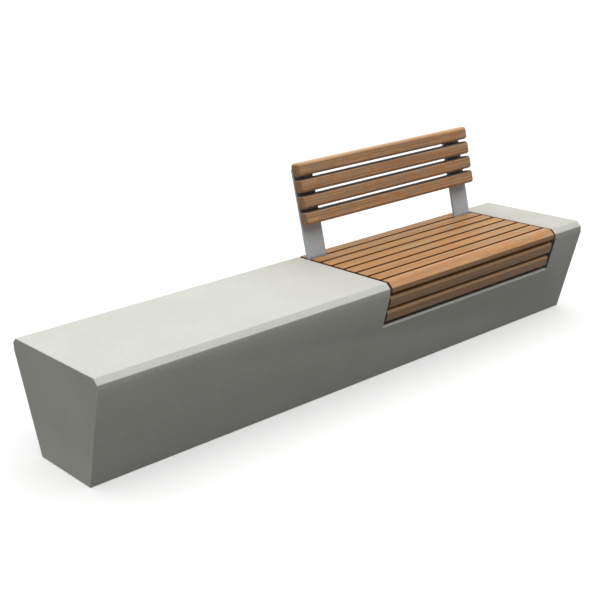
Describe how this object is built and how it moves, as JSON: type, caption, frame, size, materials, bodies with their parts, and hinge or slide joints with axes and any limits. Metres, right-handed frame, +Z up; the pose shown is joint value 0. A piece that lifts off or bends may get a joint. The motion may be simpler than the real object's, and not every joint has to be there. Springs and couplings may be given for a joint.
{
  "type": "double bench",
  "caption": "Long precast concrete bench block with a plain seat at one end and, at the other, a recess of timber slats with a slatted backrest on steel uprights.",
  "frame": {"origin": "on the floor, in the middle of the concrete block's base", "axes": "+X along the bench towards the timber seat, -Y towards the sitter's front, +Z up"},
  "size_m": [2.7, 0.6224, 0.8812],
  "materials": {
    "concrete": "pale grey smooth cast concrete",
    "seat_timber": "oiled hardwood, planed",
    "back_timber": "oiled hardwood, planed and rounded",
    "steel_flat": "matt grey galvanised and coated flat bar",
    "fixings": "stainless bolts and coach screws"
  },
  "bodies": {
    "root": {"concrete_block": "concrete", "nosing_slat": "seat_timber", "seat_slat_1": "seat_timber", "seat_slat_2": "seat_timber", "seat_slat_3": "seat_timber", "seat_slat_4": "seat_timber", "seat_slat_5": "seat_timber", "seat_slat_6": "seat_timber", "rear_slat": "seat_timber", "front_slat_1": "seat_timber", "front_slat_2": "seat_timber", "back_slat_1": "back_timber", "back_slat_2": "back_timber", "back_slat_3": "back_timber", "back_slat_4": "back_timber", "seat_bracket_left": "steel_flat", "seat_bracket_right": "steel_flat", "upright_left": "steel_flat", "upright_right": "steel_flat", "anchor_bolts": "fixings", "back_slat_screws": "fixings"}
  },
  "joints": []
}
